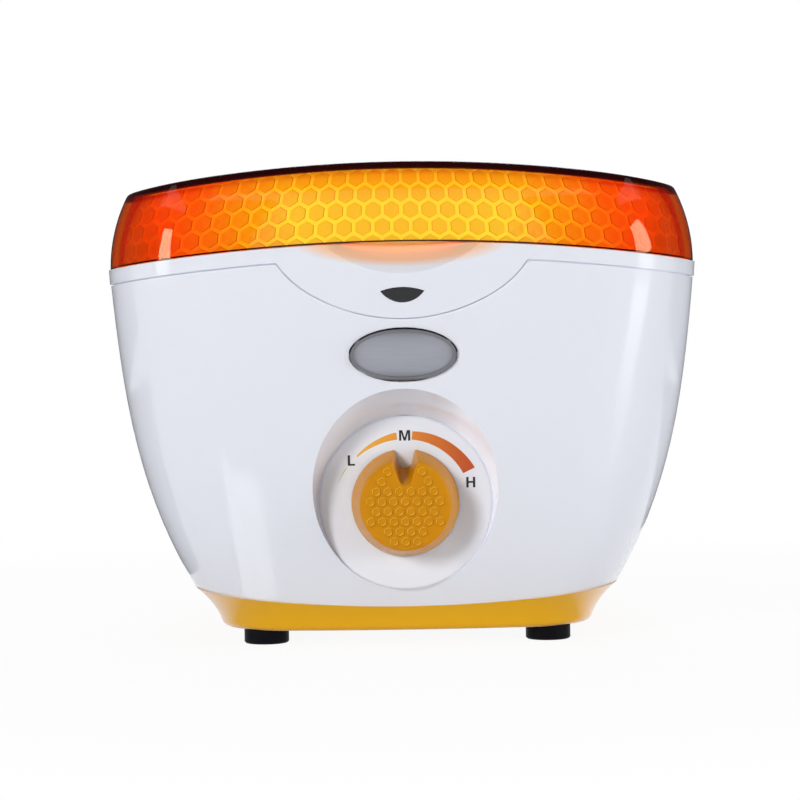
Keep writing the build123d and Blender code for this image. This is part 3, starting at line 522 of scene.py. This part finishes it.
def lid_liner():
    surface = lid_surface()
    girth_z = 0.120
    cell_arc = 0.5
    rows, first_row_z, pitch_aim = 6, 0.1105, 0.0053
    rib_gap, cell_gap = 0.00030, 0.00010
    sliver = 0.00002

    def wall_at(angle, z):
        return surface.ray_cast(Vector((0, 0, z)), way_at(angle))[0]

    # The way round the inside at girth_z, measured in short steps, and counted from its front middle
    steps = 1440
    girth = [wall_at(2 * math.pi * k / steps, girth_z) for k in range(steps + 1)]
    lengths = [0.0]
    for first, second in zip(girth, girth[1:]):
        lengths.append(lengths[-1] + (second - first).length)
    around = lengths[-1]
    count = round(around / pitch_aim)
    pitch = around / count
    front = lengths[steps * 3 // 4]

    def angle_at(s):
        s = (s + front) % around
        low, high = 0, steps
        while high - low > 1:
            half = (low + high) // 2
            if lengths[half] <= s:
                low = half
            else:
                high = half
        share = (s - lengths[low]) / (lengths[high] - lengths[low])
        return 2 * math.pi * (low + share) / steps

    verts, faces, indices = [], [], []

    def put(s, z, gap):
        """A vertex at s round and z up a sheet that is laid inside the skirt and follows its arcs."""
        angle = angle_at(s)
        x = wall_at(angle, girth_z).x
        low = lid_foot_z - x ** 2 / (2 * foot_arc)
        high = lid_rim_z - x ** 2 / (2 * rim_arc)
        real_z = min(max(z - x ** 2 / (2 * cell_arc), low), high)
        verts.append(wall_at(angle, real_z) - way_at(angle) * gap)
        return len(verts) - 1

    # Hexagons by share of the cell's size: between them lie the rib, the edge and the bottom, materials
    # 0, 1 and 2
    shrink = ((1.0, rib_gap), (0.80, rib_gap), (0.76, cell_gap), (0.70, cell_gap))
    for row in range(rows):
        z = first_row_z + row * (pitch * math.sqrt(3) / 2)
        for col in range(count):
            s = (col + (0.5 if row % 2 else 0.0)) * pitch
            loops = []
            for scale, gap in shrink:
                corners = hexagon(pitch / math.sqrt(3) * scale)
                loops.append([put(s + dx, z + dz, gap) for dx, dz in corners])
            cell_middle = put(s, z, cell_gap)
            for level, (outer, inner) in enumerate(zip(loops, loops[1:])):
                faces += ring_faces(outer, inner)
                indices += [level] * 6
            faces += [(loops[-1][k], loops[-1][(k + 1) % 6], cell_middle) for k in range(6)]
            indices += [2] * 6

    # Cells past the skirt's edges are pressed flat on them: those faces are left out
    kept = []
    for face, index in zip(faces, indices):
        heights = [verts[k].z for k in face]
        if max(heights) - min(heights) > sliver:
            kept.append((face, index))
    return verts, [face for face, _ in kept], [index for _, index in kept]


def corner_share(tree):
    """0 at the middle of each of the lid's sides and 1 at its corners, from the place and the facing."""
    corner_area = 0.01
    side_start, side_full, side_share = 0.073, 0.083, 0.7
    x, y, _ = axes_of(tree)
    rightward, backward, _ = facing_of(tree)
    by_place = unsigned(tree, product(tree, x, y))
    by_facing = unsigned(tree, product(tree, rightward, backward))
    corner = calc(tree, "MULTIPLY_ADD", by_place, 1 / corner_area, by_facing)
    side = product(tree, between(tree, unsigned(tree, x), side_start, side_full), side_share)
    return calc(tree, "MAXIMUM", corner, side)


def skin(name, tones, strength):
    """A frosted amber skin with painted light and shade: yellow at each side's middle, red at the corners,
    darker under the rim, and glowing though it is no lamp.
    """
    material, tree, shader = new_material(name)
    frost_scale = 2500.0
    places = (0.0, 0.28, 0.4, 0.5, 0.6, 0.9, 1.0)
    stops = [(place, linear(*tone)) for place, tone in zip(places, tones)]
    shade_start, shade_full, shade = 0.125, 0.1355, (1, 0.5, 0.45, 1)
    height = between(tree, level_over(tree, rim_arc), shade_start, shade_full)
    painted_shade_under_rim = calc(tree, "POWER", height, 1.3)
    tone = blend(tree, painted_shade_under_rim, ramp(tree, corner_share(tree), stops), shade, "MULTIPLY")
    tree.links.new(tone, shader.inputs["Base Color"])
    glow(tree, shader, tone, strength)
    rough(tree, shader, noise(tree, frost_scale), 0.5, 0.9, 1.1)
    return material


rib_skin = skin("lid_rib", (
    (255, 246, 100), (255, 250, 94), (255, 194, 60), (255, 138, 38), (255, 118, 32), (255, 56, 22),
    (214, 34, 16)), 0.47)
edge_skin = skin("lid_cell_edge", (
    (230, 162, 30), (230, 166, 28), (226, 122, 24), (220, 84, 20), (214, 68, 18), (200, 32, 14),
    (160, 20, 10)), 0.32)
cell_skin = skin("lid_cell", (
    (255, 218, 66), (255, 222, 60), (255, 170, 44), (255, 118, 32), (255, 100, 28), (250, 46, 20),
    (206, 28, 14)), 0.38)
verts, faces, indices = lid_liner()
skins = (rib_skin, edge_skin, cell_skin)
piece("lid_honeycomb", verts, faces, skins, "lid_cover", indices)


# The lid's lower edge: a strip there glows, though it is no lamp, as painted light piped down the skirt on
# to the ring under it

def lid_edge():
    """A thin strip just under the skirt's lower edge, from its inner wall to its outer one."""
    surface = lid_surface()
    steps, probe_z, far_out, inset = 360, 0.1185, 0.2, 0.0003
    edge_z, under_edge = 0.11555, 0.00008
    start = Vector((0, 0, probe_z))
    verts = []
    for k in range(steps):
        way = way_at(2 * math.pi * k / steps)
        inner = surface.ray_cast(start, way)[0]
        outer = surface.ray_cast(start + way * far_out, -way)[0]
        for place in (inner + way * inset, outer + way * -inset):
            verts.append((place.x, place.y, edge_z - place.x ** 2 / (2 * foot_arc) - under_edge))
    total = len(verts)
    return verts, [(k, k + 1, (k + 3) % total, (k + 2) % total) for k in range(0, total, 2)]


edge_glow, tree, shader = new_material("lid_edge_glow")
edge_tone = ramp(tree, corner_share(tree), [
    (0.0, linear(255, 150, 50)), (0.6, linear(250, 100, 30)), (1.0, linear(200, 50, 20)),
])
tree.links.new(edge_tone, shader.inputs["Base Color"])
glow(tree, shader, edge_tone, 0.5)
verts, faces = lid_edge()
piece("lid_edge_strip", verts, faces, (edge_glow,), "lid_cover")


# The knob's honeycomb: low dished hexagons on its face, left out round the notch

def knob_hexagons():
    face_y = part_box("knob")[0].y
    pitch, lift, reach = 0.00325, 0.001, 0.0108
    notch_z, notch_half, notch_flare = 0.0042, 0.0022, 0.45
    # Hexagon radius and height over the face, from the foot to the dish
    profile = (
        (0.00142, 0.0), (0.00132, 0.00022), (0.00118, 0.00028), (0.00098, 0.00016), (0.00070, 0.00008),
    )
    dish = 0.00005
    verts, faces = [], []
    for row in range(-4, 5):
        for col in range(-5, 6):
            x = (col + (0.5 if row % 2 else 0.0)) * pitch
            z = row * pitch * math.sqrt(3) / 2 + lift
            in_notch = z > notch_z and abs(x) < notch_half + (z - notch_z) * notch_flare
            if math.hypot(x, z) > reach or in_notch:
                continue
            loops = []
            for radius, height in profile:
                loops.append(range(len(verts), len(verts) + 6))
                for dx, dz in hexagon(radius):
                    verts.append((dial_x + x + dx, face_y - height, dial_z + z + dz))
            verts.append((dial_x + x, face_y - dish, dial_z + z))
            for first, second in zip(loops, loops[1:]):
                for k in range(6):
                    faces.append((first[k], second[k], second[(k + 1) % 6], first[(k + 1) % 6]))
            for k in range(6):
                faces.append((loops[-1][k], len(verts) - 1, loops[-1][(k + 1) % 6]))
    return verts, faces


verts, faces = knob_hexagons()
piece("knob_honeycomb", verts, faces, (knob_cells,), "dial", smooth=True)

# The dial's printed marks: a swelling arc in three stretches, and the letters L, M and H

plate_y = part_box("dial_plate")[0].y
print_back, print_front = plate_y + 0.00001, plate_y - 0.00003


def printed(name, outline, material):
    """A flat printed shape on the dial: points in mm about the dial's centre, x and z."""
    count = len(outline)
    made = bmesh.new()
    points = [
        made.verts.new((dial_x + x / 1000, level, dial_z + z / 1000))
        for level in (print_back, print_front) for x, z in outline
    ]
    made.faces.new(points[:count])
    made.faces.new(points[count:])
    for k in range(count):
        after = (k + 1) % count
        made.faces.new((points[k], points[after], points[count + after], points[count + k]))
    bmesh.ops.recalc_face_normals(made, faces=made.faces)
    mesh = bpy.data.meshes.new(name)
    made.to_mesh(mesh)
    made.free()
    mesh.materials.append(material)
    obj = bpy.data.objects.new(name, mesh)
    scene.collection.objects.link(obj)
    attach(obj, "root")


def stretch_of_arc(stations):
    """Outline of a bent stripe, clockwise from the top: each station is an angle and two radii."""
    steps = 24
    inner, outer = [], []
    for (a0, i0, o0), (a1, i1, o1) in zip(stations, stations[1:]):
        for k in range(steps + 1):
            share = k / steps
            angle = math.radians(a0 + (a1 - a0) * share)
            low, high = i0 + (i1 - i0) * share, o0 + (o1 - o0) * share
            inner.append((low * math.sin(angle), low * math.cos(angle)))
            outer.append((high * math.sin(angle), high * math.cos(angle)))
    return inner + outer[::-1]


arc_ink, tree, shader = new_material("arc_ink")
tree.links.new(ramp(tree, between(tree, axes_of(tree)[0], -0.020, 0.020), [
    (0.05, linear(214, 200, 70)), (0.2, linear(236, 176, 62)), (0.45, linear(228, 152, 48)),
    (0.62, linear(218, 122, 36)), (0.95, linear(190, 78, 18)),
]), shader.inputs["Base Color"])
ink_scale = 1500.0
tree.links.new(span(tree, noise(tree, ink_scale), 0.3, 0.4), shader.inputs["Roughness"])
letter_ink = plastic("letter_ink", linear(14, 14, 16), 0.35, shade=0.2)

for name, stations in {
    "dial_tick": ((-73.4, 19.78, 19.82), (-58.8, 19.25, 19.6)),
    "dial_arc_low": ((-45.5, 18.75, 19.2), (-26.0, 18.2, 19.55), (-6.6, 18.05, 20.1)),
    "dial_arc_high": ((6.4, 18.0, 20.35), (35.0, 18.15, 21.2), (64.0, 18.4, 22.1)),
}.items():
    printed(name, stretch_of_arc(stations), arc_ink)

# Each letter's centre in mm about the dial's centre, and its outline at the size before stretching
letter_wide, letter_high = 1.05, 1.03
for name, (x, z), outline in (
    ("dial_letter_L", (-15.2, 12.2), [
        (-0.98, 1.45), (-0.98, -1.45), (0.98, -1.45), (0.98, -0.95), (-0.34, -0.95), (-0.34, 1.45),
    ]),
    ("dial_letter_M", (0.05, 19.1), [
        (-1.5, -1.45), (-0.92, -1.45), (-0.92, 0.75), (-0.27, -1.45), (0.27, -1.45), (0.92, 0.75),
        (0.92, -1.45), (1.5, -1.45), (1.5, 1.45), (0.66, 1.45), (0.0, -0.62), (-0.66, 1.45), (-1.5, 1.45),
    ]),
    ("dial_letter_H", (18.65, 5.5), [
        (-1.22, -1.45), (-0.58, -1.45), (-0.58, -0.2), (0.58, -0.2), (0.58, -1.45), (1.22, -1.45),
        (1.22, 1.45), (0.58, 1.45), (0.58, 0.32), (-0.58, 0.32), (-0.58, 1.45), (-1.22, 1.45),
    ]),
):
    printed(name, [(x + letter_wide * px, z + letter_high * pz) for px, pz in outline], letter_ink)

# Studio cards: bright ones that only show as bands in gloss, and dark ones that edge the pale body and
# keep the lid's reflections dark. Each stands where its band in the photograph is mirrored from.

white_card, warm_card, dark_card = (1, 1, 1, 1), (1, 0.94, 0.6, 1), (0.04, 0.04, 0.045, 1)
fade_near, fade_far = 0.15, 0.6
card_floor_z = 0.001


def card(name, corners, strength, colour=white_card):
    """A flat card that the camera doesn't see: it glows at strength, or is dark where strength is 0.
    A pair of strengths fades the glow from near the object to far from it."""
    material, tree, shader = new_material(name)
    if strength:
        tree.nodes.remove(shader)
        if isinstance(strength, tuple):
            near, far = strength
            share = between(tree, distance_of(tree), fade_near, fade_far)
            strength = calc(tree, "MULTIPLY_ADD", share, far - near, near)
        light = add_node(tree, "ShaderNodeEmission", Color=colour, Strength=strength)
        tree.links.new(light.outputs[0], tree.nodes["Material Output"].inputs["Surface"])
    else:
        shader.inputs["Base Color"].default_value = dark_card
    mesh = bpy.data.meshes.new(name)
    mesh.from_pydata(corners, [], [tuple(range(len(corners)))])
    mesh.materials.append(material)
    obj = bpy.data.objects.new(name, mesh)
    obj.visible_camera = False
    obj.visible_transmission = False
    obj.visible_shadow = False
    obj.visible_diffuse = False
    scene.collection.objects.link(obj)


def upright_card(name, first, second, low, high, strength):
    """A card that stands on the line between two points of the floor, from one height to another."""
    card(name, [(*first, low), (*second, low), (*second, high), (*first, high)], strength)


def level_card(name, corners, z, strength):
    """A card that lies level at height z."""
    card(name, [(*corner, z) for corner in corners], strength)


upright_card("card_left", (-0.745, -0.587), (-0.848, -0.407), 0.005, 0.12, 4.2)
upright_card("card_right", (0.783, -0.533), (0.889, -0.272), 0.005, 0.12, 4.2)
card("card_lid_left", [
    (-0.93, -0.46, 0.22), (-0.82, -0.65, 0.24), (-0.77, -0.54, 0.56), (-0.86, -0.40, 0.56),
], 16.0, warm_card)
card("card_lid_right", [
    (0.85, -0.58, 0.25), (0.975, -0.29, 0.25), (0.87, -0.34, 0.51), (0.84, -0.38, 0.58),
    (0.77, -0.56, 0.50),
], 13.0, warm_card)
level_card("card_floor_left", [
    (-0.040, -0.069), (-0.049, -0.101), (-0.061, -0.151), (-0.095, -0.176), (-0.076, -0.107),
    (-0.057, -0.061),
], card_floor_z, 2.6)
level_card("card_floor_right", [
    (0.105, -0.107), (0.139, -0.142), (0.187, -0.200), (0.240, -0.250), (0.340, -0.312), (0.453, -0.375),
    (0.665, -0.494), (0.792, -0.290), (0.580, -0.240), (0.430, -0.230), (0.330, -0.200), (0.228, -0.158),
    (0.156, -0.121), (0.118, -0.097),
], card_floor_z, (1.2, 4.2))
for name, first, second, low, high in (
    ("card_dark_left", (-0.62, 0.05), (-0.20, 0.90), 0.0, 0.8),
    ("card_dark_right", (0.60, 0.08), (0.20, 0.90), 0.0, 0.8),
    ("card_dark_back", (-0.20, 0.90), (0.20, 0.90), 0.0, 0.8),
    ("card_dark_lid_left", (-0.218, -0.873), (-0.689, -0.578), 0.16, 1.0),
    ("card_dark_lid_right", (0.218, -0.873), (0.728, -0.529), 0.16, 1.0),
    ("card_dark_side_left", (-0.86, -0.80), (-1.22, -0.05), 0.14, 1.0),
    ("card_dark_side_right", (0.86, -0.80), (1.22, -0.05), 0.14, 1.0),
    ("card_dark_turn_left", (-1.22, -0.05), (-0.61, 0.10), 0.14, 1.0),
    ("card_dark_turn_right", (1.22, -0.05), (0.61, 0.10), 0.14, 1.0),
):
    upright_card(name, first, second, low, high, 0)
level_card("card_dark_top", [(-0.8, -0.7), (0.8, -0.7), (0.8, 0.9), (-0.8, 0.9)], 1.0, 0)
level_card("card_dark_floor_left", [
    (-0.42, -0.035), (-0.088, -0.035), (-0.088, 0.05), (-0.10, 0.8), (-0.42, 0.8),
], card_floor_z, 0)
level_card("card_dark_floor_right", [
    (0.42, 0.05), (0.12, 0.05), (0.10, 0.8), (0.42, 0.8),
], card_floor_z, 0)

# Floor: it keeps the object's shadow, and fades to pure white away from it

floor_material, tree, shader = new_material("floor")
tree.nodes.remove(shader)
under = add_node(tree, "ShaderNodeBsdfDiffuse", Color=(0.93, 0.93, 0.94, 1))
over = add_node(tree, "ShaderNodeEmission", Color=(1, 1, 1, 1), Strength=1.0)
fade_limits = {"From Min": 0.12, "From Max": 0.36, "To Min": 0.93, "To Max": 1.0}
fade = add_node(tree, "ShaderNodeMapRange", interpolation_type="SMOOTHSTEP", **fade_limits)
feed(tree, fade.inputs["Value"], distance_of(tree))
shown = product(tree, in_sight(tree), fade.outputs["Result"])
tree.links.new(mix_shader(tree, shown, under, over), tree.nodes["Material Output"].inputs["Surface"])
mesh = bpy.data.meshes.new("floor")
edge = 6.0
floor_corners = [(-edge, -edge, 0), (edge, -edge, 0), (edge, edge, 0), (-edge, edge, 0)]
mesh.from_pydata(floor_corners, [], [(0, 1, 2, 3)])
mesh.materials.append(floor_material)
floor = bpy.data.objects.new("floor", mesh)
scene.collection.objects.link(floor)
